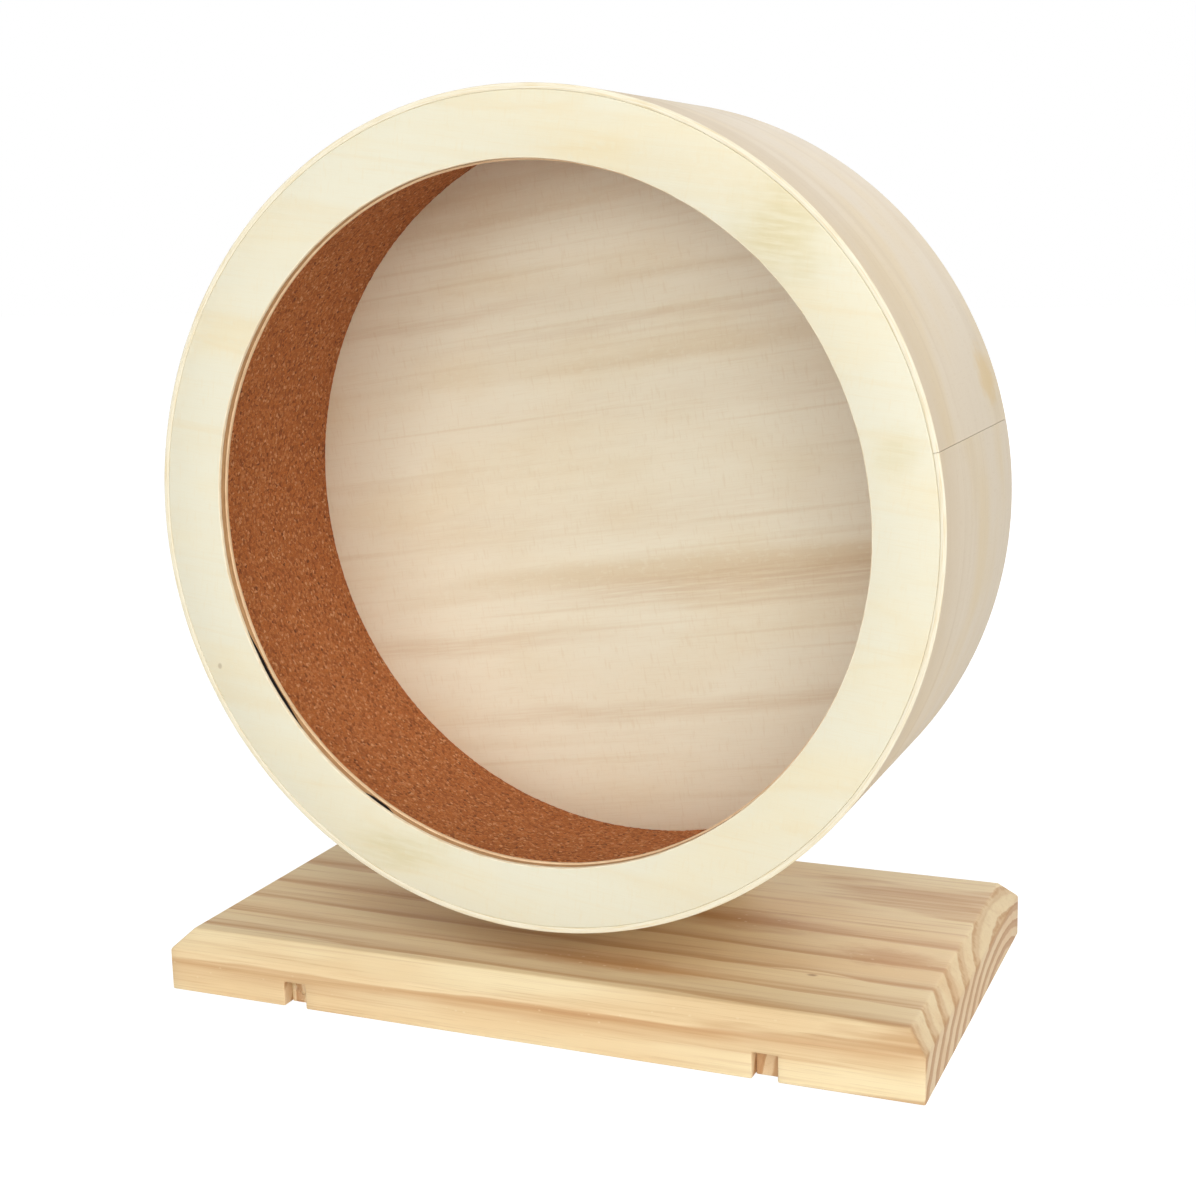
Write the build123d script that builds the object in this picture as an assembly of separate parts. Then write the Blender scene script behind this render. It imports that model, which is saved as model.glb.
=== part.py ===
"""A free-standing wooden running wheel: a cork-lined plywood drum on a pine stand.

Millimetres. +Z is up and the open mouth of the drum faces -Y. The origin is the
centre of the base board's underside. The axle lies along Y above the origin.
"""
import os
from math import cos, radians

from build123d import *

# The drum
wheel_diameter = 280.0
wheel_depth = 105.0
band_thickness = 2.0
ring_thickness = 5.0
ring_width = 21.0
disc_thickness = 3.0
cork_thickness = 3.0
seam_gap = 0.3
band_seam_angle = 11.0
cork_seam_angle = 40.0
ring_edge_rounding = 0.4

# The stand
base_length = 278.0
base_depth = 155.0
base_thickness = 22.0
base_chamfer = 6.5
base_corner_rounding = 1.5
wheel_to_base_gap = 12.0
groove_width = 8.5
groove_height = 9.0
groove_edge_distance = 52.0
left_batten_setback = 4.8
right_batten_setback = 4.0
rear_batten_setback = 4.0
batten_side_clearance = 0.05
upright_thickness = 18.0
upright_width = 70.0
upright_edge_rounding = 1.0
housing_clearance = 0.1

# The hub and the axle
hub_diameter = 90.0
hub_thickness = 14.0
hub_edge_rounding = 1.5
bolt_diameter = 8.0
bolt_head_flats = 13.0
bolt_head_height = 5.3
bolt_hole_clearance = 0.1
head_pocket_clearance = 0.1
head_pocket_spare_depth = 0.2
bolt_end_beyond_nut = 1.9
bolt_end_chamfer = 0.9
nut_flats = 13.0
nut_height = 8.0
nut_chamfer = 0.8
insert_height = 1.5
insert_wall = 1.2
washer_clearance = 0.15
hub_washer_thickness = 2.0
rear_washer_thickness = 1.6

# The two ball bearings
bearing_bore = 8.0
bearing_diameter = 22.0
bearing_width = 7.0
ball_diameter = 3.97
ball_count = 7
ball_clearance = 0.04
race_groove_depth = 0.5
bore_to_bolt_clearance = 0.03
seal_thickness = 0.6
seal_recess = 0.1
seal_land = 0.5
seal_lip_clearance = 0.1
cage_wall = 1.0
cage_side_clearance = 0.3
bearing_edge_rounding = 0.3
bearing_shoulder = 2.0
spacer_wall = 1.4

# The wood screws
screw_diameter = 4.0
screw_grip = 27.0
screw_count = 3
screw_edge_distance = 13.0
screw_head_ratio = 2.0
screw_tip_ratio = 1.2
drive_slot_ratio = 0.28
drive_length_ratio = 0.62
drive_depth_ratio = 0.45
sink_depth = 0.2

# Heights and depths that follow from those
wheel_radius = wheel_diameter / 2
band_inner_radius = wheel_radius - band_thickness
cork_inner_radius = band_inner_radius - cork_thickness
mouth_radius = band_inner_radius - ring_width
axle_height = base_thickness + wheel_to_base_gap + wheel_radius
base_front = -base_depth / 2
base_rear = base_depth / 2
upright_rear = base_rear
upright_front = upright_rear - upright_thickness
hub_rear = upright_front - hub_washer_thickness
hub_front = hub_rear - hub_thickness
wheel_rear = hub_front
wheel_front = wheel_rear - wheel_depth
disc_front = wheel_rear - disc_thickness
ring_rear = wheel_front + ring_thickness
head_seat = hub_front + head_pocket_spare_depth + bolt_head_height
washer_rear = upright_rear + rear_washer_thickness
nut_rear = washer_rear + nut_height
bolt_end = nut_rear + bolt_end_beyond_nut
bolt_radius = bolt_diameter / 2 - bore_to_bolt_clearance
pitch_radius = (bearing_bore + bearing_diameter) / 4
ball_radius = ball_diameter / 2
inner_race_radius = pitch_radius - ball_radius + race_groove_depth
outer_race_opening = pitch_radius + ball_radius - race_groove_depth
seal_seat_radius = outer_race_opening + seal_land
front_bearing_front = upright_front
rear_bearing_front = upright_rear - bearing_width
groove_offset = base_length / 2 - groove_edge_distance
screw_length = upright_thickness + screw_grip
screw_row = upright_width - 2 * screw_edge_distance


def facing_front(depth):
    """A plane on the axle that faces the front, with its X to the right and its Y up."""
    return Plane(origin=(0, depth, axle_height), x_dir=(1, 0, 0), z_dir=(0, -1, 0))


def slab(outline, front, rear):
    """An outline drawn about the axle from the front, made solid between two depths."""
    return extrude(facing_front(rear) * outline, amount=rear - front)


def tube(outer_radius, inner_radius, front, rear):
    """A ring about the axle."""
    return slab(Circle(outer_radius) - Circle(inner_radius), front, rear)


def rod(radius, front, rear):
    """A solid round about the axle."""
    return slab(Circle(radius), front, rear)


def rim_edges(piece, radius, depth):
    """The round edges of that radius about the axle at that depth."""
    found = ShapeList()
    for edge in piece.edges().filter_by(GeomType.CIRCLE):
        centre = edge.arc_center
        on_axle = abs(centre.X) + abs(centre.Z - axle_height) < 0.01
        if on_axle and abs(edge.radius - radius) < 0.01 and abs(centre.Y - depth) < 0.01:
            found.append(edge)
    return found


def seam_cut(angle, radius, wall, front, rear):
    """The thin gap where the two ends of a bent sheet meet, square to its wall."""
    gap = Box(3 * wall, rear - front + 2, seam_gap)
    place = Pos(0, (front + rear) / 2, axle_height) * Rot(0, -angle, 0) * Pos(radius, 0, 0)
    return place * gap


def make_outer_band():
    band = tube(wheel_radius, band_inner_radius, wheel_front, wheel_rear)
    middle = wheel_radius - band_thickness / 2
    return band - seam_cut(band_seam_angle, middle, band_thickness, wheel_front, wheel_rear)


def make_cork_lining():
    lining = tube(band_inner_radius, cork_inner_radius, ring_rear, disc_front)
    middle = band_inner_radius - cork_thickness / 2
    return lining - seam_cut(cork_seam_angle, middle, cork_thickness, ring_rear, disc_front)


def make_front_ring():
    ring = tube(band_inner_radius, mouth_radius, wheel_front, ring_rear)
    return fillet(rim_edges(ring, mouth_radius, wheel_front), ring_edge_rounding)


def make_back_disc():
    return rod(band_inner_radius, disc_front, wheel_rear)


def is_corner_edge(edge):
    """Whether an edge runs up a corner of the base board, or on over its chamfer."""
    middle = edge.center()
    at_end = abs(middle.X) > base_length / 2 - base_chamfer
    at_side = abs(middle.Y) > base_depth / 2 - base_chamfer
    return at_end and at_side and edge.bounding_box().size.Z > 1


def make_base_board():
    board = Pos(0, 0, base_thickness / 2) * Box(base_length, base_depth, base_thickness)
    board = chamfer(board.faces().sort_by(Axis.Z)[-1].edges(), base_chamfer)
    board = fillet(board.edges().filter_by(is_corner_edge), base_corner_rounding)
    for side in (-1, 1):
        groove = Box(groove_width, base_depth + 2, 2 * groove_height)
        board -= Pos(side * groove_offset, 0, 0) * groove
    housing_width = upright_width + 2 * housing_clearance
    housing = Box(housing_width, 2 * upright_thickness, 3 * base_thickness)
    board -= Pos(0, upright_front + upright_thickness, 0) * housing
    for cut in screw_holes():
        board -= cut
    return board


def make_batten(side, front_setback):
    width = groove_width - 2 * batten_side_clearance
    front = base_front + front_setback
    rear = base_rear - rear_batten_setback
    batten = Box(width, rear - front, groove_height)
    return Pos(side * groove_offset, (front + rear) / 2, groove_height / 2) * batten


def make_upright():
    """The post: a plain board from the floor, with a round top about the axle."""
    top = Circle(upright_width / 2)
    body = Pos(0, -axle_height / 2) * Rectangle(upright_width, axle_height)
    post = slab(top + body, upright_front, upright_rear)
    above_base = post.edges().filter_by(lambda edge: edge.center().Z > base_thickness)
    outer = above_base.filter_by(lambda edge: edge.bounding_box().size.Y < 0.01)
    post = fillet(outer, upright_edge_rounding)
    post -= rod(bearing_diameter / 2, upright_front, upright_front + bearing_width)
    post -= rod(bearing_diameter / 2, rear_bearing_front, upright_rear)
    post -= rod(bearing_diameter / 2 - bearing_shoulder, upright_front, upright_rear)
    for cut in screw_holes():
        post -= cut
    return post


def screw_blank():
    """A countersunk screw with its flat head at the origin and its tip towards +Y."""
    radius = screw_diameter / 2
    head_radius = radius * screw_head_ratio
    length = screw_length - sink_depth
    tip_start = length - screw_diameter * screw_tip_ratio
    points = [(0, 0), (head_radius, 0), (radius, head_radius - radius)]
    points += [(radius, tip_start), (0, length)]
    return Pos(0, sink_depth, 0) * revolve(make_face(Polyline(points, close=True)), axis=Axis.Y)


def screw_places():
    """Screws go in from behind, in a row at half the base board's thickness."""
    pitch = screw_row / (screw_count - 1)
    places = []
    for index in range(screw_count):
        across = index * pitch - screw_row / 2
        places.append(Pos(across, upright_rear, base_thickness / 2) * Rot(0, 0, 180))
    return places


def screw_holes():
    """The holes that the screws cut for themselves, with the sinking for the head."""
    mouth = Rot(90, 0, 0) * Cylinder(screw_diameter / 2 * screw_head_ratio, 2 * sink_depth)
    return [place * (mouth + screw_blank()) for place in screw_places()]


def make_upright_screws():
    """Cross-head wood screws, sunk just under the surface."""
    slot_width = screw_diameter * drive_slot_ratio
    slot_length = screw_diameter * screw_head_ratio * drive_length_ratio
    slot_depth = sink_depth + screw_diameter * drive_depth_ratio
    screw = screw_blank()
    for turn in (0, 90):
        screw -= Rot(0, turn, 0) * Box(slot_length, 2 * slot_depth, slot_width)
    return Compound(children=[place * screw for place in screw_places()])


def hexagon(flats):
    """A hexagon of that width across its flats, with a flat at the top."""
    return RegularPolygon(radius=flats / 2, side_count=6, major_radius=False, rotation=30)


def make_hub_block():
    block = tube(hub_diameter / 2, bolt_diameter / 2 + bolt_hole_clearance, hub_front, hub_rear)
    block = fillet(rim_edges(block, hub_diameter / 2, hub_rear), hub_edge_rounding)
    return block - slab(hexagon(bolt_head_flats + 2 * head_pocket_clearance), hub_front, head_seat)


def make_axle_bolt():
    """A hexagon bolt whose head bears on the floor of the pocket in the hub block."""
    head = slab(hexagon(bolt_head_flats), head_seat - bolt_head_height, head_seat)
    shank = rod(bolt_radius, head_seat - bolt_head_height / 2, bolt_end)
    shank = chamfer(rim_edges(shank, bolt_radius, bolt_end), bolt_end_chamfer)
    return head + shank


def make_lock_nut():
    """A nut with a round collar at its rear that holds the nylon ring."""
    corner_radius = nut_flats / 2 / cos(radians(30))
    blank = rod(corner_radius, washer_rear, nut_rear)
    blank = chamfer(rim_edges(blank, corner_radius, nut_rear), nut_chamfer)
    nut = blank & slab(hexagon(nut_flats), washer_rear, nut_rear)
    nut -= rod(bolt_radius, washer_rear, nut_rear)
    seat = rod(bolt_radius + insert_wall, nut_rear - insert_height, nut_rear)
    return nut - seat


def make_lock_nut_insert():
    return tube(bolt_radius + insert_wall, bolt_radius, nut_rear - insert_height, nut_rear)


def make_washer(front, thickness):
    """A narrow washer that touches only the inner race."""
    hole_radius = bolt_diameter / 2 + washer_clearance
    return tube(inner_race_radius, hole_radius, front, front + thickness)


def make_bearing_spacer():
    hole_radius = bolt_diameter / 2 + washer_clearance
    front = front_bearing_front + bearing_width
    return tube(hole_radius + spacer_wall, hole_radius, front, rear_bearing_front)


def ball_track(front):
    """The round channel that the balls run in, a little larger than the balls."""
    middle = facing_front(front + bearing_width / 2)
    return middle * Torus(pitch_radius, ball_radius + ball_clearance)


def make_outer_race(front):
    rear = front + bearing_width
    race = tube(bearing_diameter / 2, outer_race_opening, front, rear)
    corners = rim_edges(race, bearing_diameter / 2, front)
    corners += rim_edges(race, bearing_diameter / 2, rear)
    race = fillet(corners, bearing_edge_rounding)
    seat_depth = seal_recess + seal_thickness
    race -= rod(seal_seat_radius, front, front + seat_depth)
    race -= rod(seal_seat_radius, rear - seat_depth, rear)
    return race - ball_track(front)


def make_inner_race(front):
    race = tube(inner_race_radius, bearing_bore / 2, front, front + bearing_width)
    return race - ball_track(front)


def make_seals(front):
    """The rubber rings at the two faces of a bearing, held in the outer race."""
    lip_radius = inner_race_radius + seal_lip_clearance
    front_face = front + seal_recess
    rear_face = front + bearing_width - seal_recess
    seals = [tube(seal_seat_radius, lip_radius, front_face, front_face + seal_thickness)]
    seals.append(tube(seal_seat_radius, lip_radius, rear_face - seal_thickness, rear_face))
    return Compound(children=seals)


def ball_places(front):
    """The middle of each ball, with X pointing away from the axle."""
    middle = Pos(0, front + bearing_width / 2, axle_height)
    places = []
    for index in range(ball_count):
        places.append(middle * Rot(0, index * 360 / ball_count, 0) * Pos(pitch_radius, 0, 0))
    return places


def make_balls(front):
    return Compound(children=[place * Sphere(ball_radius) for place in ball_places(front)])


def make_cage(front):
    """A ribbon between the races with a round pocket for each ball."""
    inset = seal_recess + seal_thickness + cage_side_clearance
    outer_radius = pitch_radius + cage_wall / 2
    inner_radius = pitch_radius - cage_wall / 2
    ribbon = tube(outer_radius, inner_radius, front + inset, front + bearing_width - inset)
    pocket = Rot(0, 90, 0) * Cylinder(ball_radius + 2 * ball_clearance, 3 * cage_wall)
    for place in ball_places(front):
        ribbon -= place * pocket
    return ribbon


def make_parts():
    """Every piece of the wheel under its node name."""
    parts = {
        "base_board": make_base_board(),
        "left_batten": make_batten(-1, left_batten_setback),
        "right_batten": make_batten(1, right_batten_setback),
        "upright": make_upright(),
        "upright_screws": make_upright_screws(),
        "front_ring": make_front_ring(),
        "outer_band": make_outer_band(),
        "cork_lining": make_cork_lining(),
        "back_disc": make_back_disc(),
        "hub_block": make_hub_block(),
        "axle_bolt": make_axle_bolt(),
        "hub_washer": make_washer(hub_rear, hub_washer_thickness),
        "bearing_spacer": make_bearing_spacer(),
        "rear_washer": make_washer(upright_rear, rear_washer_thickness),
        "lock_nut": make_lock_nut(),
        "lock_nut_insert": make_lock_nut_insert(),
    }
    bearings = {"front_bearing": front_bearing_front, "rear_bearing": rear_bearing_front}
    for name, front in bearings.items():
        parts[name + "_outer_race"] = make_outer_race(front)
        parts[name + "_inner_race"] = make_inner_race(front)
        parts[name + "_balls"] = make_balls(front)
        parts[name + "_cage"] = make_cage(front)
        parts[name + "_seals"] = make_seals(front)
    return parts


os.makedirs("parts", exist_ok=True)
for node, piece in make_parts().items():
    export_step(piece, f"parts/{node}.step")
print("axle height", axle_height, "wheel from", wheel_front, "to", wheel_rear)
print("balls go round at", round((1 - ball_diameter / (2 * pitch_radius)) / 2, 5), "of the wheel")
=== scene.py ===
"""Looks of the wooden running wheel: plywood drum, cork lining and pine stand.

Metres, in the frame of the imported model. The mouth of the drum faces -Y.
"""
from math import cos, hypot, radians, sin, tau

import bmesh
import bpy
from mathutils import Matrix, Vector, noise


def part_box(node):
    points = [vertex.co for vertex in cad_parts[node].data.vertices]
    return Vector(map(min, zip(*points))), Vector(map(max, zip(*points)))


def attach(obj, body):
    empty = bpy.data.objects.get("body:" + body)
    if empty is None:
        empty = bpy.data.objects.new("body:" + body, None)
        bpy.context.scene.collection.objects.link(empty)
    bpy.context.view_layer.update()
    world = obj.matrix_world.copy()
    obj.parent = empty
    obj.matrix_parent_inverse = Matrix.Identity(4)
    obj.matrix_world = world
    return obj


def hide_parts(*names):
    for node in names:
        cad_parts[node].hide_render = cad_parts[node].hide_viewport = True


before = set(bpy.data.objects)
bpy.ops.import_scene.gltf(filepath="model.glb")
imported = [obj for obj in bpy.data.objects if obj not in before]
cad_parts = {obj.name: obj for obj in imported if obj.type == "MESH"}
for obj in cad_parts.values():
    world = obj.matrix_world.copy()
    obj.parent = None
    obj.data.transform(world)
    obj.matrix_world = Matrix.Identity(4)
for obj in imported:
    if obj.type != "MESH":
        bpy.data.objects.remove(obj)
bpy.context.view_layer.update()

MM = 0.001

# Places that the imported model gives
ring_low, ring_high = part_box("front_ring")
band_low, band_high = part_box("outer_band")
cork_low, cork_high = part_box("cork_lining")
disc_low, disc_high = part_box("back_disc")
board_low, board_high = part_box("base_board")
axle_height = (band_low.z + band_high.z) / 2
band_radius = (band_high.x - band_low.x) / 2
ring_radius = (ring_high.x - ring_low.x) / 2
disc_radius = (disc_high.x - disc_low.x) / 2
cork_outer_radius = (cork_high.x - cork_low.x) / 2

# Sizes of the drum
band_thickness = 2 * MM
ring_width = 21 * MM
cork_thickness = 3 * MM
rim_rounding = 0.35 * MM
seam_gap = 0.3 * MM
band_seam_angle = radians(11)
cork_seam_angle = radians(40)
ply_line_depth = 0.07 * MM
face_ply_share = 0.26
void_depth = 4.5 * MM
void_width = 1.7 * MM
back_ply_lip = 0.5 * MM
ring_saw_marks = 0.12 * MM
disc_rings = 12
disc_stretches_at_rim = 7

# Marks in the wood. A streak is (height from the axle, width, start, end, strength) in mm.
ring_tilt = radians(8)
disc_tilt = radians(-8)
disc_streaks = [
    (-39.0, 9, -30, 150, 0.50),
    (-47.0, 3, 10, 150, 0.25),
    (-54.4, 7, -140, -30, 0.32),
    (-86.5, 6, -80, 110, 0.30),
    (60.6, 3, -60, 130, 0.22),
    (73.0, 5, -140, -20, 0.25),
    (30.0, 12, -60, 140, 0.12),
    (-12.0, 14, -110, 60, 0.14),
]
ring_stains = [
    (radians(46), (0.024, 0.010, 0.026), 0.60),
    (radians(246), (0.030, 0.010, 0.012), 0.50),
    (radians(12), (0.012, 0.010, 0.012), 0.35),
]
ring_voids = [(radians(200), radians(222)), (radians(236), radians(243))]
pin_mark = (-120.9 * MM, ring_low.y, axle_height - 55.4 * MM)
band_stain_angle = band_seam_angle + radians(7)
band_stain_setback = 16 * MM
board_knots = [(0.0917, -0.0397, board_high.z)]
board_stains = [
    ((0.112, -0.016, board_high.z), (0.026, 0.012, 0.004)),
    ((0.055, 0.002, board_high.z), (0.045, 0.014, 0.004)),
    ((0.020, -0.052, board_high.z), (0.060, 0.010, 0.004)),
]
cork_grain_size = 1.05 * MM
cork_row_height = 1.1 * MM
cork_relief = 0.16 * MM
hub_rounding = 1.5 * MM
hub_bore_radius = 4.05 * MM
hub_plies = 9
hub_saw_marks = 0.10 * MM

# Sizes of the stand
board_chamfer = 6.5 * MM
board_arris = 0.6 * MM
batten_clearance = 0.05 * MM
housing_clearance = 0.1 * MM
past = 2 * MM
board_slice = 5 * MM
left_batten_torn = 1.5 * MM
right_batten_torn = 0.25 * MM

# The room: each lamp is (name, place, width, height, watts)
sky_strength = 0.26
floor_glow = 0.93
floor_shade = (0.30, 0.30, 0.30, 1)
floor_colour = (0.8, 0.8, 0.8, 1)
floor_reach = 6.0
floor_drop = 0.2 * MM
lamp_aim = (0, 0, 0.15)
lamps = [
    ("key_lamp", (0.35, -2.4, 0.45), 2.4, 0.8, 24.5),
    ("upper_lamp", (0.4, -1.7, 1.9), 1.6, 1.6, 21),
    ("fill_lamp", (2.2, -0.9, 0.75), 1.6, 1.4, 17),
    ("back_lamp", (0.2, 2.2, 1.4), 1.8, 1.8, 18),
]

# The camera of the photograph
camera_place = Vector((0.25905, -0.61062, 0.26464))
camera_yaw = radians(22.953)
camera_pitch = radians(10.79)
camera_roll = radians(-1.37)
photo_width = 1196
focal_pixels = 1872.5
sensor_width = 36.0


# Colours

def srgb(red, green, blue):
    """A colour written from 0 to 255 as the eye sees it."""
    def linear(value):
        value /= 255
        return value / 12.92 if value <= 0.04045 else ((value + 0.055) / 1.055) ** 2.4
    return (linear(red), linear(green), linear(blue), 1.0)


RING_FACE = srgb(228, 223, 200)
RING_DARK = srgb(226, 207, 164)
RING_PATCH = srgb(233, 217, 176)
RING_STAIN = srgb(206, 190, 136)
RIM_LIGHT = srgb(238, 230, 206)
PLY_CORE = srgb(208, 166, 118)
PLY_BACK = srgb(248, 220, 180)
GLUE_LINE = srgb(120, 84, 52)
DISC_FACE = srgb(250, 244, 218)
DISC_DARK = srgb(222, 198, 154)
DISC_PATCH = srgb(243, 229, 193)
BAND_FACE = srgb(228, 213, 189)
BAND_DARK = srgb(208, 187, 155)
BAND_PATCH = srgb(226, 203, 158)
BAND_STAIN = srgb(222, 190, 126)
DISC_STREAK = srgb(212, 180, 136)
PIN_KNOT = srgb(120, 86, 52)
CORK_DARK = srgb(132, 70, 30)
CORK_MAIN = srgb(200, 118, 58)
CORK_BARK = srgb(112, 60, 30)
CORK_LIGHT = srgb(232, 174, 118)
PINE_EARLY = srgb(245, 227, 184)
PINE_LATE = srgb(194, 146, 95)
PINE_WARM = srgb(231, 199, 150)
PINE_END = srgb(224, 192, 152)
PINE_STAIN = srgb(190, 138, 84)
PINE_KNOT = srgb(140, 84, 44)
PINE_PALE = srgb(245, 226, 188)
PINE_DEEP = srgb(170, 120, 74)


class Paint:
    """One node material, put together from small steps."""

    def __init__(self, name, roughness=0.6, metallic=0.0):
        self.material = bpy.data.materials.new(name)
        self.material.use_nodes = True
        self.nodes = self.material.node_tree.nodes
        self.links = self.material.node_tree.links
        self.shader = self.nodes["Principled BSDF"]
        self.shader.inputs["Roughness"].default_value = roughness
        self.shader.inputs["Metallic"].default_value = metallic

    def feed(self, socket, value):
        if isinstance(value, bpy.types.NodeSocket):
            self.links.new(value, socket)
        else:
            socket.default_value = value

    def finish(self, socket, value):
        self.feed(self.shader.inputs[socket], value)

    def place(self, size, turn=(0, 0, 0), origin=(0, 0, 0), along_surface=False):
        """Coordinates in which one unit is size metres on each axis."""
        if along_surface:
            source = self.nodes.new("ShaderNodeUVMap")
            source.uv_map = "surface"
            point = source.outputs["UV"]
        else:
            point = self.nodes.new("ShaderNodeTexCoord").outputs["Object"]
        mapping = self.nodes.new("ShaderNodeMapping")
        mapping.vector_type = "TEXTURE"
        mapping.inputs["Location"].default_value = origin
        mapping.inputs["Rotation"].default_value = turn
        mapping.inputs["Scale"].default_value = size
        self.links.new(point, mapping.inputs["Vector"])
        return mapping.outputs["Vector"]

    def split(self, vector):
        node = self.nodes.new("ShaderNodeSeparateXYZ")
        self.links.new(vector, node.inputs["Vector"])
        return node.outputs["X"], node.outputs["Y"], node.outputs["Z"]

    def noise(self, vector, detail=2.0, roughness=0.5, distortion=0.0):
        node = self.nodes.new("ShaderNodeTexNoise")
        self.links.new(vector, node.inputs["Vector"])
        node.inputs["Scale"].default_value = 1.0
        node.inputs["Detail"].default_value = detail
        node.inputs["Roughness"].default_value = roughness
        node.inputs["Distortion"].default_value = distortion
        return node.outputs["Fac"]

    def cells(self, vector, feature="F1", output="Distance"):
        node = self.nodes.new("ShaderNodeTexVoronoi")
        node.feature = feature
        self.links.new(vector, node.inputs["Vector"])
        node.inputs["Scale"].default_value = 1.0
        return node.outputs[output]

    def maths(self, operation, first, second=0.0, third=0.0):
        node = self.nodes.new("ShaderNodeMath")
        node.operation = operation
        for socket, value in zip(node.inputs, (first, second, third)):
            self.feed(socket, value)
        return node.outputs["Value"]

    def span(self, value, low, high, to_low=0.0, to_high=1.0):
        """Maps low..high to to_low..to_high and holds it there beyond."""
        node = self.nodes.new("ShaderNodeMapRange")
        node.interpolation_type = "SMOOTHSTEP"
        self.feed(node.inputs["Value"], value)
        node.inputs["From Min"].default_value = low
        node.inputs["From Max"].default_value = high
        node.inputs["To Min"].default_value = to_low
        node.inputs["To Max"].default_value = to_high
        return node.outputs["Result"]

    def spot(self, centre, size, soft=0.6, ragged=0.0):
        """One at a place on the object, falling to nothing at size metres from it."""
        node = self.nodes.new("ShaderNodeVectorMath")
        node.operation = "LENGTH"
        self.links.new(self.place(size, origin=centre), node.inputs[0])
        reach = node.outputs["Value"]
        if ragged:
            edge = self.noise(self.place([side / 3 for side in size]), 3.0)
            reach = self.maths("ADD", reach, self.maths("MULTIPLY_ADD", edge, ragged, -ragged / 2))
        return self.span(reach, 1 - soft, 1.0, 1.0, 0.0)

    def ramp(self, value, stops):
        node = self.nodes.new("ShaderNodeValToRGB")
        self.feed(node.inputs["Fac"], value)
        points = node.color_ramp.elements
        while len(points) < len(stops):
            points.new(0.5)
        for point, (position, colour) in zip(points, stops):
            point.position = position
            point.color = colour
        return node.outputs["Color"]

    def mix(self, share, first, second):
        node = self.nodes.new("ShaderNodeMix")
        node.data_type = "RGBA"
        self.feed(node.inputs[0], share)
        self.feed(node.inputs[6], first)
        self.feed(node.inputs[7], second)
        return node.outputs[2]

    def relief(self, height, depth):
        node = self.nodes.new("ShaderNodeBump")
        self.feed(node.inputs["Height"], height)
        node.inputs["Distance"].default_value = depth
        node.inputs["Strength"].default_value = 1.0
        self.finish("Normal", node.outputs["Normal"])


# Materials

def streaked(paint, colour, dark, turn, streaks):
    """The colour with long single streaks drawn over it."""
    line = paint.place((MM, MM, MM), (0, turn, 0), (0, 0, axle_height))
    along, depth, across = paint.split(line)
    bend = paint.noise(paint.place((0.05, 0.02, 0.05)), 2.0)
    across = paint.maths("ADD", across, paint.maths("MULTIPLY_ADD", bend, 9.0, -4.5))
    worn = paint.noise(paint.place((0.030, 0.02, 0.0012), (0, turn, 0)), 3.0, 0.6)
    worn = paint.span(worn, 0.30, 0.62, 0.35, 1.0)
    for middle, width, start, end, strength in streaks:
        away = paint.maths("ABSOLUTE", paint.maths("SUBTRACT", across, middle))
        share = paint.span(away, 0.1 * width, width, strength, 0.0)
        share = paint.maths("MULTIPLY", share, paint.span(along, start - 40, start + 40))
        share = paint.maths("MULTIPLY", share, paint.span(along, end + 40, end - 40))
        colour = paint.mix(paint.maths("MULTIPLY", share, worn), colour, dark)
    return colour


def veneer(name, light, dark, patch, turn=0.0, along_surface=False, stripes=0.5,
           blotches=0.5, figured=0.0):
    """Rotary-cut face veneer: sparse soft stripes, pale blotches and fine fibres.

    The grain runs along X, tilted by turn in the XZ plane, or along the surface.
    """
    paint = Paint(name, roughness=0.62)

    def grain(along, across, origin=0.0):
        if along_surface:
            return paint.place((along, across, 1), origin=(origin, origin, 0), along_surface=True)
        return paint.place((along, 0.05, across), (0, turn, 0), (origin, 0, origin))

    fibres = paint.noise(grain(0.012, 0.00035), detail=3.0, roughness=0.65)
    lines = paint.noise(grain(0.300, 0.0040, 0.13), detail=2.0, distortion=0.2)
    bands = paint.noise(grain(0.420, 0.020, 0.41), detail=3.0, roughness=0.5, distortion=0.15)
    patches = paint.noise(grain(0.070, 0.030, 0.27), detail=2.0)
    mottle = paint.noise(grain(0.0030, 0.0016, 0.07), detail=2.0)
    chatter = paint.noise(grain(0.0009, 0.0060, 0.19), detail=1.0)
    contour = paint.noise(grain(0.150, 0.030, 0.33), detail=1.0)
    contour = paint.maths("PINGPONG", paint.maths("MULTIPLY", contour, 9.0), 0.5)
    figure = paint.maths("MULTIPLY", paint.span(contour, 0.34, 0.5),
                         paint.span(patches, 0.45, 0.65))
    stripe = paint.span(bands, 0.52, 0.72, 0.0, stripes)
    colour = paint.mix(paint.span(patches, 0.42, 0.72, 0.0, blotches), light, patch)
    colour = paint.mix(stripe, colour, dark)
    colour = paint.mix(paint.maths("MULTIPLY", figure, figured), colour, dark)
    colour = paint.mix(paint.span(lines, 0.56, 0.72, 0.0, 0.5 * stripes), colour, dark)
    colour = paint.mix(paint.span(fibres, 0.48, 0.78, 0.0, 0.20), colour, dark)
    colour = paint.mix(paint.span(mottle, 0.52, 0.72, 0.0, 0.30), colour, light)
    colour = paint.mix(paint.span(chatter, 0.55, 0.80, 0.0, 0.18), colour, dark)
    paint.finish("Roughness", paint.span(fibres, 0.3, 0.7, 0.55, 0.72))
    paint.relief(paint.maths("ADD", fibres, lines), 0.04 * MM)
    return paint, colour


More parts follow.
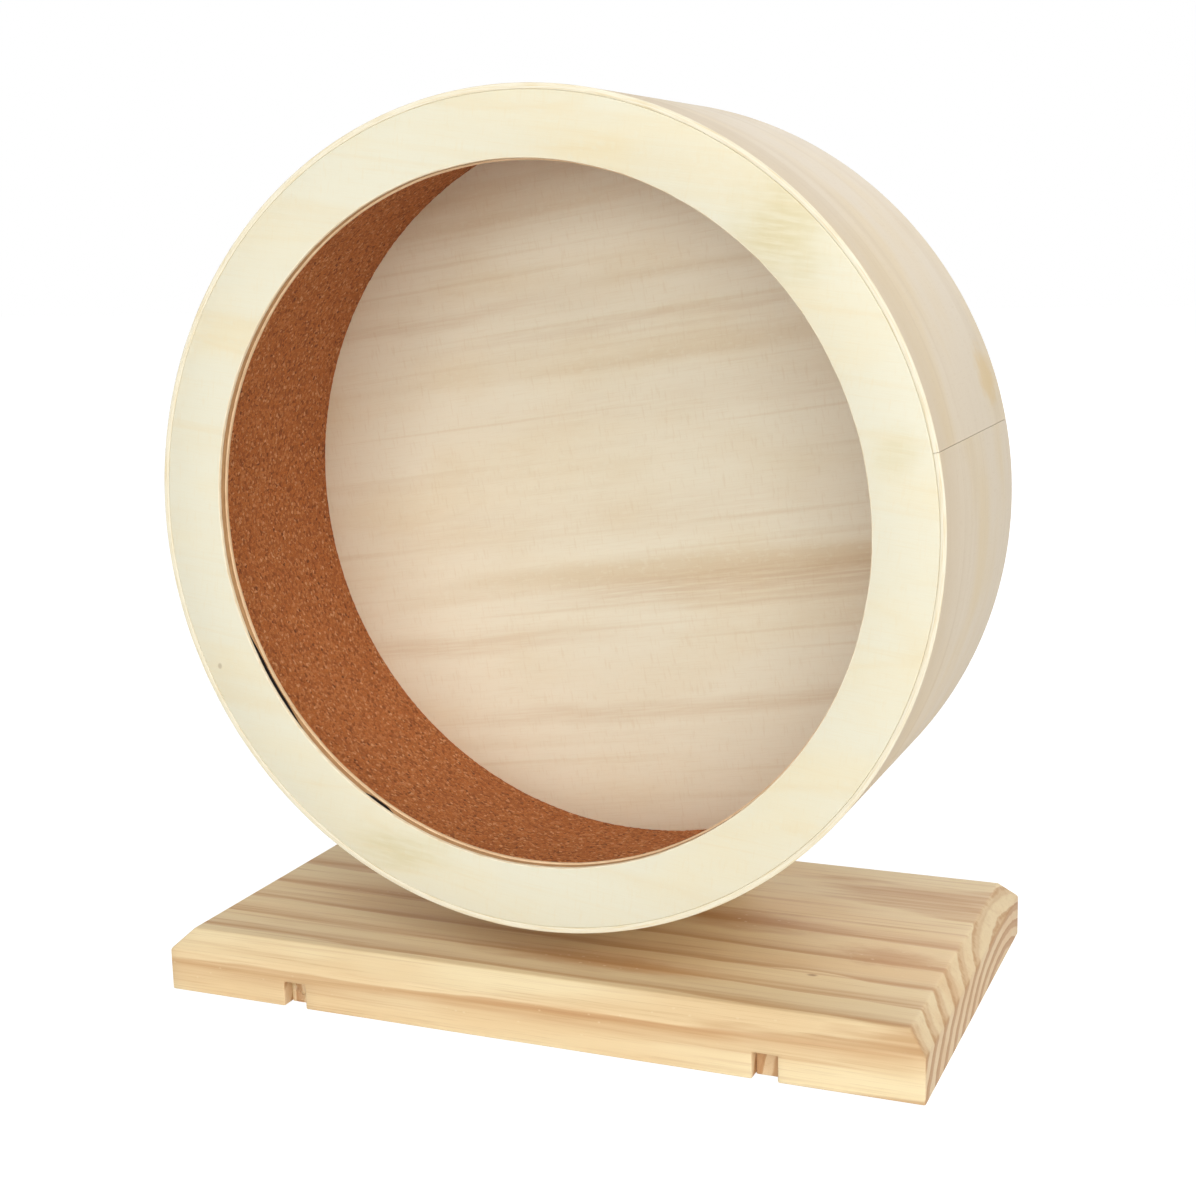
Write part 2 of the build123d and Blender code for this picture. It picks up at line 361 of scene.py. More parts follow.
def ring_veneer():
    paint, colour = veneer("ring_veneer", RING_FACE, RING_DARK, RING_PATCH, ring_tilt,
                           stripes=0.40, figured=0.24)
    pin = paint.spot(pin_mark, (0.0011, 0.002, 0.0014))
    flame = paint.noise(paint.place((0.012, 0.01, 0.0016), (0, ring_tilt, 0)), 3.0, 0.6)
    for angle, size, strength in ring_stains:
        centre = drum_point(angle, ring_radius - ring_width / 2, ring_low.y)
        share = paint.spot(centre, size, soft=1.0, ragged=0.6)
        share = paint.maths("MULTIPLY", share, paint.span(flame, 0.30, 0.65, 0.4 * strength, strength))
        colour = paint.mix(share, colour, RING_STAIN)
    paint.finish("Base Color", paint.mix(paint.maths("MULTIPLY", pin, 0.35), colour, PIN_KNOT))
    return paint.material


def disc_veneer():
    paint, colour = veneer("disc_veneer", DISC_FACE, DISC_DARK, DISC_PATCH, disc_tilt,
                           stripes=0.50, figured=0.06)
    colour = streaked(paint, colour, DISC_STREAK, disc_tilt, disc_streaks)
    paint.finish("Base Color", colour)
    return paint.material


def band_veneer():
    paint, colour = veneer("band_veneer", BAND_FACE, BAND_DARK, BAND_PATCH,
                           along_surface=True, stripes=0.40)
    depth = paint.split(paint.place((1, 1, 1)))[1]
    front_share = paint.span(depth, band_low.y + 4 * MM, band_low.y + 34 * MM, 0.45, 0.0)
    colour = paint.mix(front_share, colour, BAND_DARK)
    centre = drum_point(band_stain_angle, band_radius, band_high.y - band_stain_setback)
    patch = paint.spot(centre, (0.016, 0.016, 0.013), soft=0.7, ragged=0.7)
    colour = paint.mix(paint.maths("MULTIPLY", patch, 0.6), colour, BAND_STAIN)
    paint.finish("Base Color", colour)
    return paint.material


def rim_wood():
    """The bare front and rear edges of the bent band."""
    paint = Paint("rim_wood", roughness=0.6)
    fibres = paint.noise(paint.place((0.012, 0.0004, 0.0004), along_surface=True), 3.0)
    paint.finish("Base Color", paint.mix(paint.span(fibres, 0.4, 0.8), RIM_LIGHT, RING_DARK))
    paint.relief(fibres, 0.04 * MM)
    return paint.material


def cut_ply(name, colour, dark):
    """The sawn edge of one ply."""
    paint = Paint(name, roughness=0.75)
    fibres = paint.noise(paint.place((0.006, 0.0005, 0.0003), along_surface=True), 4.0, 0.6)
    scorch = paint.noise(paint.place((0.030, 0.002, 0.002), along_surface=True), 2.0)
    shade = paint.mix(paint.span(fibres, 0.35, 0.75), colour, dark)
    shade = paint.mix(paint.span(scorch, 0.45, 0.75, 0.0, 0.5), shade, dark)
    paint.finish("Base Color", shade)
    paint.relief(fibres, 0.08 * MM)
    return paint.material


def cork_grains():
    """Pressed cork: packed grains of many browns with dark joints between them."""
    paint = Paint("cork_grains", roughness=0.88)
    point = paint.place((cork_grain_size, cork_grain_size, cork_grain_size))
    shades = paint.cells(point, output="Color")
    tone = paint.split(shades)[0]
    other = paint.split(shades)[1]
    gaps = paint.cells(point, feature="DISTANCE_TO_EDGE")
    fine = paint.noise(paint.place((0.0004, 0.0004, 0.0004)), 3.0, 0.6)
    colour = paint.ramp(tone, [
        (0.00, CORK_DARK),
        (0.14, srgb(176, 100, 50)),
        (0.55, CORK_MAIN),
        (0.90, srgb(211, 138, 82)),
        (1.00, CORK_LIGHT),
    ])
    colour = paint.mix(paint.span(fine, 0.35, 0.7, 0.0, 0.35), colour, CORK_DARK)
    colour = paint.mix(paint.span(gaps, 0.0, 0.10, 0.5, 0.0), colour, CORK_DARK)
    colour = paint.mix(paint.span(other, 0.985, 0.995), colour, CORK_BARK)
    paint.finish("Base Color", colour)
    paint.finish("Sheen Weight", 0.25)
    paint.finish("Sheen Tint", CORK_LIGHT)
    paint.relief(paint.maths("ADD", fine, paint.span(gaps, 0.0, 0.2)), 0.12 * MM)
    return paint.material


def pine(name, lengthwise, pith, squash, ring_gap, phase=0.0, taper=0.0, knots=(), stains=()):
    """Sawn pine: growth rings round a pith line, which the grain follows.

    Ends of the board show the rings darker, and the faces carry resin flecks.
    """
    paint = Paint(name, roughness=0.55)
    axis = "XYZ".index(lengthwise)

    def grain(along, across, origin=0.0):
        size = [across, across, across]
        size[axis] = along
        return paint.place(size, origin=(origin, origin / 2, origin))

    def swing(value, reach):
        """A noise of 0 to 1 as a shift of up to reach both ways."""
        return paint.maths("MULTIPLY_ADD", value, 2 * reach, -reach)

    spot = paint.split(paint.place((1, 1, 1)))
    length, first, second = spot[axis], spot[axis - 2], spot[axis - 1]
    facing = paint.split(paint.nodes.new("ShaderNodeTexCoord").outputs["Normal"])
    end_share = paint.span(paint.maths("ABSOLUTE", facing[axis]), 0.5, 0.9)
    across = paint.maths("DIVIDE", paint.maths("SUBTRACT", first, pith[0]), squash)
    up = paint.maths("SUBTRACT", second, pith[1])
    radius = paint.maths("SQRT", paint.maths(
        "ADD", paint.maths("MULTIPLY", across, across), paint.maths("MULTIPLY", up, up)))
    radius = paint.maths("MULTIPLY_ADD", length, taper, radius)
    radius = paint.maths("ADD", radius, swing(paint.noise(grain(0.20, 0.040), 2.0), 0.0011))
    radius = paint.maths("ADD", radius, swing(paint.noise(grain(0.05, 0.006), 2.0), 0.0008))
    for centre in knots:
        swell = paint.spot(centre, (0.020, 0.006, 0.010), soft=1.0)
        radius = paint.maths("MULTIPLY_ADD", swell, 0.0022, radius)
    year = paint.maths("FRACT", paint.maths(
        "ADD", paint.maths("DIVIDE", radius, ring_gap), phase))
    late = paint.ramp(year, [
        (0.00, (0.05, 0.05, 0.05, 1)),
        (0.42, (0.08, 0.08, 0.08, 1)),
        (0.70, (0.45, 0.45, 0.45, 1)),
        (0.86, (1, 1, 1, 1)),
        (0.95, (0.80, 0.80, 0.80, 1)),
        (1.00, (0.05, 0.05, 0.05, 1)),
    ])
    fibres = paint.noise(grain(0.030, 0.0004), 3.0, 0.65)
    streaks = paint.noise(grain(0.12, 0.0024, 0.2), 3.0, 0.6)
    tint = paint.noise(grain(0.10, 0.022, 0.3), 2.0)
    strength = paint.span(streaks, 0.25, 0.6, 0.40, 0.85)
    strength = paint.maths("MAXIMUM", strength, paint.maths("MULTIPLY", end_share, 0.9))
    late = paint.maths("MULTIPLY", late, strength)
    wide = paint.maths("MULTIPLY", paint.span(year, 0.42, 0.60), paint.span(year, 1.0, 0.95))
    wide = paint.maths("MULTIPLY", wide, paint.maths("MULTIPLY", end_share, 0.70))
    late = paint.maths("MAXIMUM", late, wide)
    early = paint.mix(paint.span(tint, 0.40, 0.68, 0.0, 0.75), PINE_EARLY, PINE_WARM)
    early = paint.mix(paint.maths("MULTIPLY", end_share, 0.55), early, PINE_END)
    early = paint.mix(paint.span(facing[2], 0.6, 0.95, 0.0, 0.40), early, PINE_WARM)
    colour = paint.mix(late, early, PINE_LATE)
    colour = paint.mix(paint.maths("MULTIPLY", late, paint.maths(
        "MULTIPLY", end_share, 0.45)), colour, PINE_DEEP)
    side_share = paint.maths("SUBTRACT", 1.0, end_share)
    drawn = paint.maths("MULTIPLY", paint.span(streaks, 0.52, 0.75, 0.0, 0.45), side_share)
    colour = paint.mix(drawn, colour, PINE_LATE)
    colour = paint.mix(paint.span(fibres, 0.5, 0.8, 0.0, 0.30), colour, PINE_DEEP)
    spots = paint.cells(grain(0.0050, 0.0032))
    fleck = paint.maths("MULTIPLY", paint.span(spots, 0.06, 0.15, 1.0, 0.0),
                        paint.span(tint, 0.55, 0.65, 0.0, 0.30))
    for centre, size in stains:
        stain = paint.spot(centre, size, soft=0.9, ragged=0.9)
        colour = paint.mix(paint.maths("MULTIPLY", stain, 0.65), colour, PINE_STAIN)
        fleck = paint.maths("MAXIMUM", fleck, paint.maths(
            "MULTIPLY", stain, paint.span(spots, 0.08, 0.18, 0.5, 0.0)))
    colour = paint.mix(fleck, colour, PINE_PALE)
    for centre in knots:
        heart = paint.spot(centre, (0.0026, 0.0014, 0.004), soft=0.9, ragged=0.5)
        colour = paint.mix(paint.maths("MULTIPLY", heart, 0.7), colour, PINE_KNOT)
    paint.finish("Base Color", colour)
    paint.finish("Roughness", paint.span(fibres, 0.3, 0.7, 0.48, 0.66))
    paint.relief(paint.maths("ADD", fibres, paint.maths("MULTIPLY", late, 0.6)), 0.05 * MM)
    return paint.material


def steel(name, colour, roughness, scratch):
    """Bright steel with fine working marks in its roughness."""
    paint = Paint(name, roughness, metallic=1.0)
    marks = paint.noise(paint.place(scratch), 3.0, 0.6)
    cloud = paint.noise(paint.place((0.003, 0.003, 0.003)), 2.0)
    paint.finish("Base Color", paint.mix(paint.span(cloud, 0.3, 0.7), colour, srgb(150, 150, 148)))
    paint.finish("Roughness", paint.span(marks, 0.3, 0.7, roughness * 0.8, roughness * 1.3))
    paint.relief(marks, 0.01 * MM)
    return paint.material


def seal_rubber():
    paint = Paint("seal_rubber", roughness=0.55)
    grain = paint.noise(paint.place((0.0004, 0.0004, 0.0004)), 2.0)
    paint.finish("Base Color", paint.mix(grain, srgb(24, 24, 25), srgb(44, 43, 42)))
    paint.finish("Roughness", paint.span(grain, 0.3, 0.7, 0.45, 0.65))
    paint.relief(grain, 0.02 * MM)
    return paint.material


def nylon():
    paint = Paint("nylon", roughness=0.4)
    cloud = paint.noise(paint.place((0.001, 0.001, 0.001)), 2.0)
    paint.finish("Base Color", paint.mix(cloud, srgb(226, 224, 214), srgb(205, 203, 193)))
    paint.shader.inputs["Subsurface Weight"].default_value = 0.1
    paint.shader.inputs["Subsurface Scale"].default_value = 0.0005
    paint.relief(cloud, 0.02 * MM)
    return paint.material


# Meshes

def drum_point(angle, radius, depth):
    return Vector((radius * cos(angle), depth, axle_height + radius * sin(angle)))


def turned(name, outline, finishes, materials, seam=None, segments=720, closed=True):
    """Sweep an outline of (radius, depth) round the axle.

    outline(angle) gives the points and finishes(angle) the material number of each
    stretch between them. With a seam the sweep stops short of it on both sides.
    """
    start, end = (0.0, tau) if seam is None else seam
    step = (end - start) / segments
    rows_needed = segments if seam is None else segments + 1
    angles = [start + (end - start) * i / segments for i in range(rows_needed)]
    made = bmesh.new()
    surface = made.loops.layers.uv.new("surface")
    rows = []
    lengths = []
    for angle in angles:
        points = outline(angle)
        rows.append([made.verts.new(drum_point(angle, *point)) for point in points])
        if not lengths:
            lengths = running_lengths(points)
            mean_radius = max(point[0] for point in points)
    count = len(rows[0])
    spans = count if closed else count - 1
    for i in range(segments):
        near = rows[i]
        far = rows[(i + 1) % len(rows)]
        numbers = finishes(angles[i])
        for j in range(spans):
            k = (j + 1) % count
            face = made.faces.new((near[j], near[k], far[k], far[j]))
            face.material_index = numbers[j]
            face.smooth = True
            around = [angles[i], angles[i], angles[i] + step, angles[i] + step]
            running = [lengths[j], lengths[j + 1], lengths[j + 1], lengths[j]]
            for loop, turn, length in zip(face.loops, around, running):
                loop[surface].uv = (turn * mean_radius, length)
    if seam is not None:
        made.faces.new(reversed(rows[0]))
        made.faces.new(rows[-1])
    bmesh.ops.remove_doubles(made, verts=made.verts, dist=1e-6)
    bmesh.ops.recalc_face_normals(made, faces=made.faces)
    return finished_piece(name, made, materials)


def running_lengths(points):
    """How far round the outline each of its points is."""
    lengths = [0.0]
    for here, there in zip(points, points[1:] + points[:1]):
        lengths.append(lengths[-1] + hypot(there[0] - here[0], there[1] - here[1]))
    return lengths


def finished_piece(name, made, materials, sharp=radians(32)):
    mesh = bpy.data.meshes.new(name)
    made.to_mesh(mesh)
    made.free()
    for material in materials:
        mesh.materials.append(material)
    mesh.set_sharp_from_angle(angle=sharp)
    piece = bpy.data.objects.new(name, mesh)
    bpy.context.scene.collection.objects.link(piece)
    return piece


def rounded(radius, depth, first, last, size=rim_rounding, steps=3):
    """Points of a rounded corner about its centre, from one angle to the other."""
    points = []
    for i in range(steps + 1):
        angle = radians(first + (last - first) * i / steps)
        points.append((radius + size * cos(angle), depth + size * sin(angle)))
    return points


def smooth_window(value, low, high, edge):
    """One inside low..high, falling to nothing over the edge width inside it."""
    rise = min(max((value - low) / edge, 0.0), 1.0)
    fall = min(max((high - value) / edge, 0.0), 1.0)
    share = min(rise, fall)
    return share * share * (3 - 2 * share)


def void_share(angle):
    """How far the core veneer is missing at this angle of the ring's bore."""
    return max(smooth_window(angle, low, high, (high - low) / 3) for low, high in ring_voids)


def ring_finishes(angle):
    """The material number of each stretch of the ring's outline."""
    rounding, face, front_ply_and_highlight, glue, core, back_ply, painted_void_shade = 0, 0, 1, 4, 2, 3, 5
    void = [glue, core, core]
    # Inside an open void the walls and floor take a near-black finish: painted shade for the void's
    # depth, not the wood's own colour.
    if void_share(angle) > 0.03:
        void = [painted_void_shade] * 3
    # The bore's front arris and the face ply's edge take the front-ply finish: pale wood, made lighter
    # than the ring's face as a painted highlight.
    edge = [front_ply_and_highlight] + void + [core, glue] + [back_ply] * 5
    return [rounding] * 3 + [face] + [front_ply_and_highlight] * 3 + edge + [face] + [rounding] * 3 + [face]


def ring_outline(angle):
    """Three plies: the core is open where its veneer is missing."""
    front, rear = ring_low.y, ring_high.y
    outer = ring_radius
    inner = ring_radius - ring_width
    thick = rear - front
    face_ply = thick * face_ply_share
    inner += noise.noise(Vector((angle * 9, 0.5, 0))) * ring_saw_marks
    hollow = min(void_share(angle) * 4, 1.0) * void_depth
    opening = void_share(angle) * void_width
    line = ply_line_depth
    first_joint = front + face_ply
    second_joint = rear - face_ply
    points = rounded(outer - rim_rounding, front + rim_rounding, 0, -90)
    points += rounded(inner + rim_rounding, front + rim_rounding, -90, -180)
    points += [
        (inner, first_joint - line),
        (inner + line + hollow, first_joint),
        (inner + hollow + line / 2, first_joint + opening + line),
        (inner + line / 2, first_joint + opening + 2 * line),
        (inner + line / 2, second_joint - line),
        (inner + line, second_joint),
        (inner - back_ply_lip, second_joint + line),
    ]
    points += rounded(inner - back_ply_lip + rim_rounding, rear - rim_rounding, 180, 90)
    points += rounded(outer - rim_rounding, rear - rim_rounding, 90, 0)
    return points


def make_front_ring(face, front_ply_and_highlight, core, back_ply, glue, painted_void_shade):
    ring = turned("plywood_front_ring", ring_outline, ring_finishes,
                  [face, front_ply_and_highlight, core, back_ply, glue, painted_void_shade])
    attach(ring, "wheel")
    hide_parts("front_ring")


def band_outline(angle):
    front, rear = band_low.y, band_high.y
    outer = band_radius
    inner = band_radius - band_thickness
    points = rounded(outer - rim_rounding, front + rim_rounding, 0, -90)
    points += rounded(inner + rim_rounding, front + rim_rounding, -90, -180)
    points += rounded(inner + rim_rounding, rear - rim_rounding, 180, 90)
    points += rounded(outer - rim_rounding, rear - rim_rounding, 90, 0)
    return points


def make_outer_band(face, rim):
    finishes = [1] * 7 + [0] + [1] * 7 + [0]
    half_gap = seam_gap / 4 / band_radius
    seam = (band_seam_angle + half_gap, band_seam_angle + tau - half_gap)
    band = turned("bent_plywood_band", band_outline, lambda angle: finishes, [face, rim], seam)
    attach(band, "wheel")
    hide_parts("outer_band")


def make_cork_lining(grains):
    """The inner face is rough: each grain stands a little proud or low."""
    half_gap = seam_gap / 2 / cork_outer_radius
    seam = (cork_seam_angle + half_gap, cork_seam_angle + tau - half_gap)
    inner = cork_outer_radius - cork_thickness
    depth = cork_high.y - cork_low.y
    rows = int(depth / cork_row_height)

    def outline(angle):
        points = [(cork_outer_radius, cork_high.y), (cork_outer_radius, cork_low.y)]
        for row in range(rows + 1):
            y = cork_low.y + depth * row / rows
            point = drum_point(angle, inner, y) / cork_grain_size
            height = noise.noise(point) + 0.5 * noise.noise(point * 2.3)
            points.append((inner + (height - 0.4) * cork_relief, y))
        return points

    finishes = [0] * (rows + 3)
    lining = turned("cork_running_surface", outline, lambda angle: finishes, [grains], seam,
                    segments=760)
    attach(lining, "wheel")
    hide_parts("cork_lining")


def disc_outline(angle):
    front, rear = disc_low.y, disc_high.y
    edge = disc_radius
    rings = disc_rings
    points = [(edge * i / rings, rear) for i in range(rings)]
    points += rounded(edge - rim_rounding, rear - rim_rounding, 90, 0)
    points += rounded(edge - rim_rounding, front + rim_rounding, 0, -90)
    points += [(edge * i / rings, front) for i in range(rings - 1, -1, -1)]
    return points


def make_back_disc(face, edge):
    rest = len(disc_outline(0)) - disc_rings - disc_stretches_at_rim
    finishes = [0] * disc_rings + [1] * disc_stretches_at_rim + [0] * rest
    disc = turned("plywood_back_disc", disc_outline, lambda angle: finishes, [face, edge],
                  closed=False, segments=360)
    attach(disc, "wheel")
    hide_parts("back_disc")


def box_mesh(low, high):
    """A plain block, as a cutter or as stock to be worked."""
    made = bmesh.new()
    bmesh.ops.create_cube(made, size=1.0)
    for vert in made.verts:
        vert.co = Vector(low[i] if vert.co[i] < 0 else high[i] for i in range(3))
    return made


def carved(made, cutters):
    """The mesh with every cutter's space taken out of it."""
    stock = finished_piece("stock", made, [])
    tools = [finished_piece("cutter", cutter, []) for cutter in cutters]
    for tool in tools:
        cut = stock.modifiers.new("cut", "BOOLEAN")
        cut.operation = "DIFFERENCE"
        cut.solver = "EXACT"
        cut.object = tool
    bpy.context.view_layer.update()
    shaped = stock.evaluated_get(bpy.context.evaluated_depsgraph_get())
    result = bmesh.new()
    result.from_mesh(shaped.to_mesh())
    shaped.to_mesh_clear()
    for spent in [stock] + tools:
        mesh = spent.data
        bpy.data.objects.remove(spent)
        bpy.data.meshes.remove(mesh)
    bmesh.ops.dissolve_limit(result, angle_limit=radians(1), verts=result.verts,
                             edges=result.edges)
    return result


def soften(made, rounding):
    """Round every corner edge a little."""
    corners = [edge for edge in made.edges
               if edge.is_manifold and edge.calc_face_angle(0) > radians(25)]
    bmesh.ops.bevel(made, geom=corners, offset=rounding, segments=3, profile=0.5,
                    affect="EDGES", clamp_overlap=True)


def slice_up(made, step):
    """Divide the faces evenly so that the surface can take relief."""
    for axis in range(3):
        normal = [0, 0, 0]
        normal[axis] = 1
        low = min(vert.co[axis] for vert in made.verts)
        high = max(vert.co[axis] for vert in made.verts)
        count = int((high - low) / step)
        for i in range(1, count):
            cut = [0, 0, 0]
            cut[axis] = low + (high - low) * i / count
            geometry = list(made.verts) + list(made.edges) + list(made.faces)
            bmesh.ops.bisect_plane(made, geom=geometry, dist=1e-7, plane_co=cut,
                                   plane_no=normal)


def wear(made, reach, grain_length, grain_width):
    """Take the arrises down unevenly and leave a faint planing ripple."""
    made.normal_update()
    for vert in made.verts:
        normal = vert.normal
        edge_share = 1 - max(normal.x ** 2, normal.y ** 2, normal.z ** 2)
        spot = Vector((vert.co.x / grain_length, vert.co.y / grain_width,
                       vert.co.z / grain_width))
        depth = 0.5 + 0.5 * noise.noise(spot)
        vert.co -= normal * depth * reach * (0.12 + edge_share)
    for face in made.faces:
        face.smooth = True


def make_base_board(pine_wood):
    """The board with its chamfered top edge, two grooves and the post's notch."""
    post_low, post_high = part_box("upright")
    made = bmesh.new()
    levels = [
        (board_low.z, 0.0),
        (board_high.z - board_chamfer, 0.0),
        (board_high.z, board_chamfer),
    ]
    corners = []
    for height, inset in levels:
        left, right = board_low.x + inset, board_high.x - inset
        front, rear = board_low.y + inset, board_high.y - inset
        square = [(left, front), (right, front), (right, rear), (left, rear)]
        corners.append([made.verts.new((x, y, height)) for x, y in square])
    made.faces.new(reversed(corners[0]))
    made.faces.new(corners[-1])
    for below, above in zip(corners, corners[1:]):
        for i in range(4):
            k = (i + 1) % 4
            made.faces.new((below[i], below[k], above[k], above[i]))
    bmesh.ops.recalc_face_normals(made, faces=made.faces)
    cutters = []
    for batten in ("left_batten", "right_batten"):
        low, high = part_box(batten)
        cutters.append(box_mesh(
            (low.x - batten_clearance, board_low.y - past, board_low.z - past),
            (high.x + batten_clearance, board_high.y + past, high.z)))
    cutters.append(box_mesh(
        (post_low.x - housing_clearance, post_low.y, board_low.z - past),
        (post_high.x + housing_clearance, board_high.y + past, board_high.z + past)))
    made = carved(made, cutters)
    soften(made, board_arris)
    slice_up(made, board_slice)
    wear(made, 0.22 * MM, 22 * MM, 6 * MM)
    board = finished_piece("pine_base_board", made, [pine_wood])
    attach(board, "stand")
    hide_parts("base_board")


def make_batten(side, wood, torn):
    """A key strip in its groove; torn gives the depth of its chipped front end."""
    low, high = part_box(side + "_batten")
    made = box_mesh(low, high)
    soften(made, 0.5 * MM)
    slice_up(made, 0.8 * MM)
    middle = (low.x + high.x) / 2
    for vert in made.verts:
        if vert.co.y < low.y + 0.3 * MM:
            across = abs(vert.co.x - middle) / MM
            wedge = abs(across * 1.3 - (vert.co.z - low.z) / MM + 2.0)
            chip = noise.noise(vert.co / (1.6 * MM))
            vert.co.y += torn * (max(0.0, 1 - wedge / 1.1) + 0.25 * (1 + chip))
    wear(made, 0.10 * MM, 1.5 * MM, 3 * MM)
    batten = finished_piece(side + "_softwood_batten", made, [wood])
    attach(batten, "stand")
    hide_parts(side + "_batten")


def make_hub_block(face, light_ply, dark_ply):
    """A turned block of many plies with the bolt through its middle."""
    low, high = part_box("hub_block")
    radius = (high.x - low.x) / 2
    bore = hub_bore_radius
    thick = high.y - low.y - 2 * hub_rounding
    plies = hub_plies

    def outline(angle):
        points = [(bore, low.y)]
        points += [(radius * share, low.y) for share in (0.4, 0.7)]
        points += rounded(radius - rim_rounding, low.y + rim_rounding, -90, 0)
        for ply in range(1, 2 * plies):
            depth = low.y + hub_rounding + thick * ply / (2 * plies)
            saw = noise.noise(Vector((angle * 25, ply // 2, 0))) * hub_saw_marks
            groove = ply_line_depth if ply % 2 == 0 else 0.0
            points.append((radius - groove - hub_saw_marks + saw, depth))
        points += rounded(radius - hub_rounding, high.y - hub_rounding, 0, 90, hub_rounding, 5)
        points += [(radius * share, high.y) for share in (0.7, 0.4)]
        points.append((bore, high.y))
        return points

    stretches_in_front = 6
    finishes = [0] * stretches_in_front
    for ply in range(2 * plies):
        finishes.append(1 if (ply // 2) % 2 == 0 else 2)
    finishes += [0] * (len(outline(0)) - len(finishes))
    block = turned("plywood_hub_block", outline, lambda angle: finishes,
                   [face, light_ply, dark_ply], segments=360)
    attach(block, "wheel")
    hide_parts("hub_block")


def dress(node, material):
    """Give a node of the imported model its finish."""
    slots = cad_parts[node].data.materials
    slots.clear()
    slots.append(material)


# The room

def soft_lamp(name, place, aim, width, height, power):
    data = bpy.data.lights.new(name, "AREA")
    data.shape = "RECTANGLE"
    data.size = width
    data.size_y = height
    data.energy = power
    lamp = bpy.data.objects.new(name, data)
    lamp.location = place
    lamp.rotation_euler = (Vector(aim) - Vector(place)).to_track_quat("-Z", "Y").to_euler()
    bpy.context.scene.collection.objects.link(lamp)


def seen_by_eye_or_mirror(nodes, links):
    path = nodes.new("ShaderNodeLightPath")
    total = None
    for ray in ("Is Camera Ray", "Is Glossy Ray", "Is Transmission Ray"):
        if total is None:
            total = path.outputs[ray]
            continue
        larger = nodes.new("ShaderNodeMath")
        larger.operation = "MAXIMUM"
        links.new(total, larger.inputs[0])
        links.new(path.outputs[ray], larger.inputs[1])
        total = larger.outputs["Value"]
    return total


def make_sky(strength):
    world = bpy.data.worlds.new("studio")
    world.use_nodes = True
    bpy.context.scene.world = world
    nodes = world.node_tree.nodes
    links = world.node_tree.links
    lit = nodes["Background"]
    lit.inputs["Color"].default_value = (1, 1, 1, 1)
    lit.inputs["Strength"].default_value = strength
    seen = nodes.new("ShaderNodeBackground")
    seen.inputs["Color"].default_value = (1, 1, 1, 1)
    seen.inputs["Strength"].default_value = 1.0
    choice = nodes.new("ShaderNodeMixShader")
    links.new(seen_by_eye_or_mirror(nodes, links), choice.inputs[0])
    links.new(lit.outputs[0], choice.inputs[1])
    links.new(seen.outputs[0], choice.inputs[2])
    links.new(choice.outputs[0], nodes["World Output"].inputs["Surface"])


def make_floor():
    """A pale floor that looks white but still takes the shadow."""
    material = bpy.data.materials.new("studio_floor")
    material.use_nodes = True
    nodes = material.node_tree.nodes
    links = material.node_tree.links
    nodes.remove(nodes["Principled BSDF"])
    plain = nodes.new("ShaderNodeBsdfDiffuse")
    plain.inputs["Color"].default_value = floor_colour
    shaded = nodes.new("ShaderNodeBsdfDiffuse")
    shaded.inputs["Color"].default_value = floor_shade
    glow = nodes.new("ShaderNodeEmission")
    glow.inputs["Strength"].default_value = floor_glow
    both = nodes.new("ShaderNodeAddShader")
    links.new(shaded.outputs[0], both.inputs[0])
    links.new(glow.outputs[0], both.inputs[1])
    choice = nodes.new("ShaderNodeMixShader")
    links.new(seen_by_eye_or_mirror(nodes, links), choice.inputs[0])
    links.new(plain.outputs[0], choice.inputs[1])
    links.new(both.outputs[0], choice.inputs[2])
    links.new(choice.outputs[0], nodes["Material Output"].inputs["Surface"])
    made = bmesh.new()
    bmesh.ops.create_grid(made, x_segments=8, y_segments=8, size=floor_reach)
    floor = finished_piece("studio_floor", made, [material])
    floor.location.z = -floor_drop


def make_camera():
    data = bpy.data.cameras.new("photo_view")
    data.sensor_fit = "HORIZONTAL"
    data.sensor_width = sensor_width
    data.lens = focal_pixels / photo_width * sensor_width
    camera = bpy.data.objects.new("photo_view", data)
    yaw = Matrix.Rotation(camera_yaw, 4, "Z")
    pitch = Matrix.Rotation(radians(90) - camera_pitch, 4, "X")
    roll = Matrix.Rotation(camera_roll, 4, "Z")
    camera.matrix_world = Matrix.Translation(camera_place) @ yaw @ pitch @ roll
    bpy.context.scene.collection.objects.link(camera)
    bpy.context.scene.camera = camera


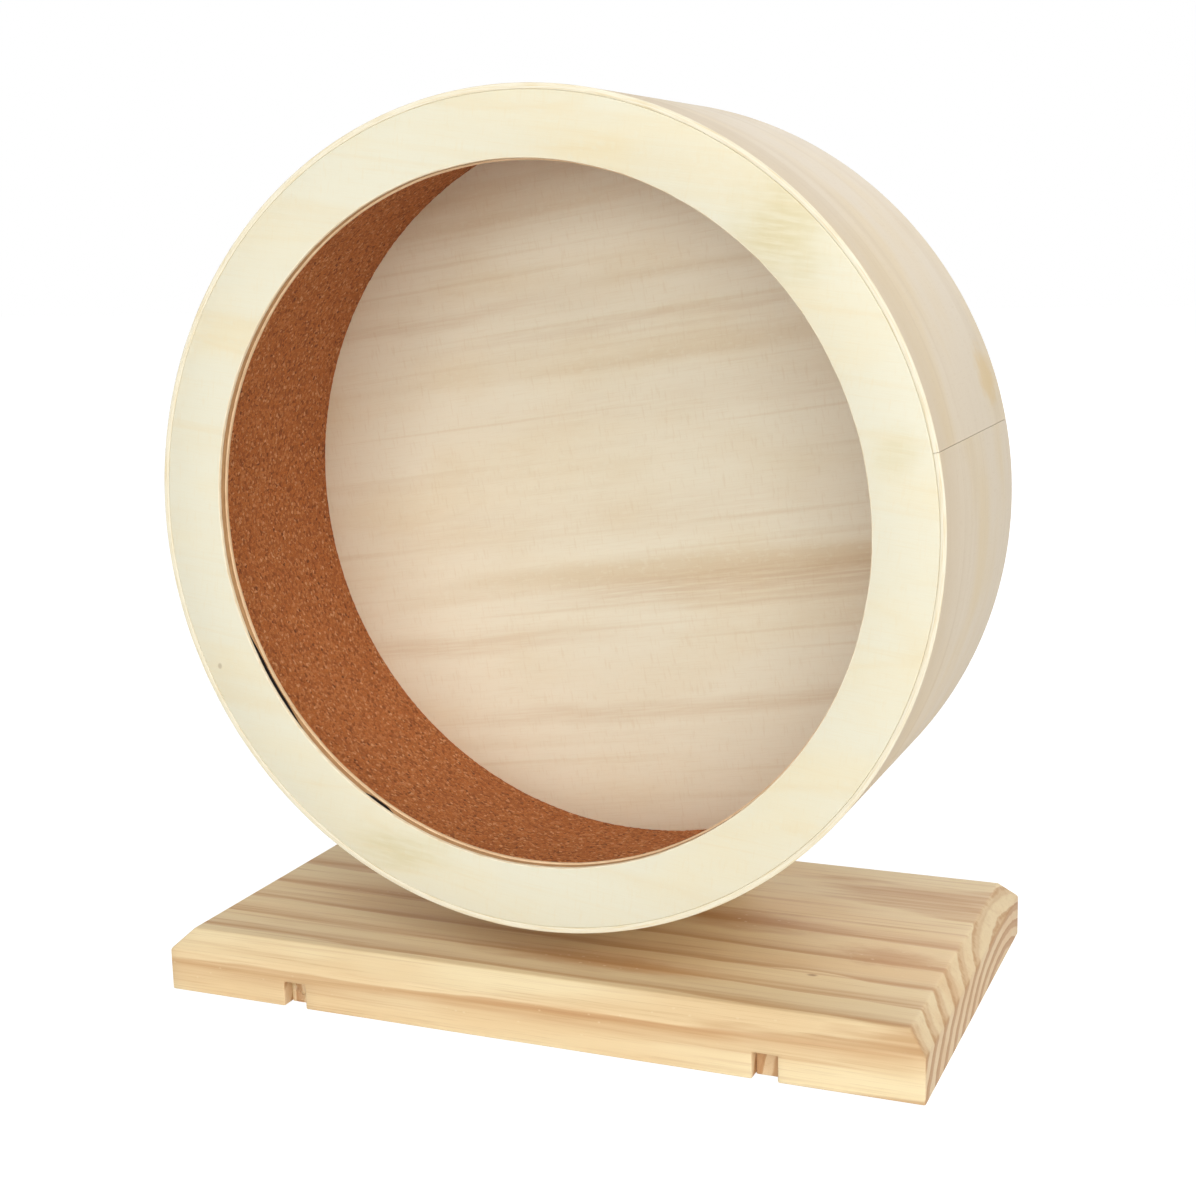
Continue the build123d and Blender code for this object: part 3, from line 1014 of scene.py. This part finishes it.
make_camera()
make_sky(sky_strength)
make_floor()
for name, place, width, height, power in lamps:
    soft_lamp(name, place, lamp_aim, width, height, power)

ring_face = ring_veneer()
disc_face = disc_veneer()
band_face = band_veneer()
light_rim = rim_wood()
# Face-ply edge: pale birch, brighter than the ring's face as a painted highlight along the bore's
# front arris.
front_ply_and_highlight = cut_ply("front_ply_edge_and_painted_highlight", srgb(250, 241, 216), srgb(226, 203, 162))
core_ply = cut_ply("core_ply_edge", PLY_CORE, srgb(166, 124, 82))
back_ply = cut_ply("back_ply_edge", PLY_BACK, srgb(222, 184, 138))
glue = cut_ply("glue_line", GLUE_LINE, srgb(92, 62, 38))
# Near-black finish for the inside of the core's voids: painted shade.
painted_void_shade = cut_ply("core_void_painted_shade", srgb(26, 15, 9), srgb(16, 10, 6))
make_front_ring(ring_face, front_ply_and_highlight, core_ply, back_ply, glue, painted_void_shade)
make_outer_band(band_face, light_rim)
make_cork_lining(cork_grains())
make_back_disc(disc_face, core_ply)

board_pine = pine("board_pine", "X", pith=(0.045, -0.014), squash=2.1, ring_gap=0.0058,
                  phase=0.80, taper=-0.009, knots=board_knots, stains=board_stains)
post_pine = pine("post_pine", "Z", pith=(0.012, 0.14), squash=1.3, ring_gap=0.0065)
key_wood = pine("key_wood", "Y", pith=(0.03, 0.02), squash=1.4, ring_gap=0.0062)
make_base_board(board_pine)
make_batten("left", key_wood, left_batten_torn)
make_batten("right", key_wood, right_batten_torn)
make_hub_block(disc_face, back_ply, core_ply)
dress("upright", post_pine)
zinc = steel("zinc_steel", srgb(196, 200, 203), 0.34, (0.0008, 0.0008, 0.0002))
for node in ("upright_screws", "axle_bolt", "hub_washer", "bearing_spacer", "rear_washer",
             "lock_nut"):
    dress(node, zinc)
polished = steel("bearing_steel", srgb(205, 205, 202), 0.18, (0.0002, 0.002, 0.0002))
pressed = steel("pressed_steel", srgb(188, 186, 180), 0.3, (0.0004, 0.0004, 0.0004))
rubber = seal_rubber()
for end in ("front", "rear"):
    dress(end + "_bearing_outer_race", polished)
    dress(end + "_bearing_inner_race", polished)
    dress(end + "_bearing_balls", polished)
    dress(end + "_bearing_cage", pressed)
    dress(end + "_bearing_seals", rubber)
dress("lock_nut_insert", nylon())

bpy.context.scene.view_settings.view_transform = "Standard"
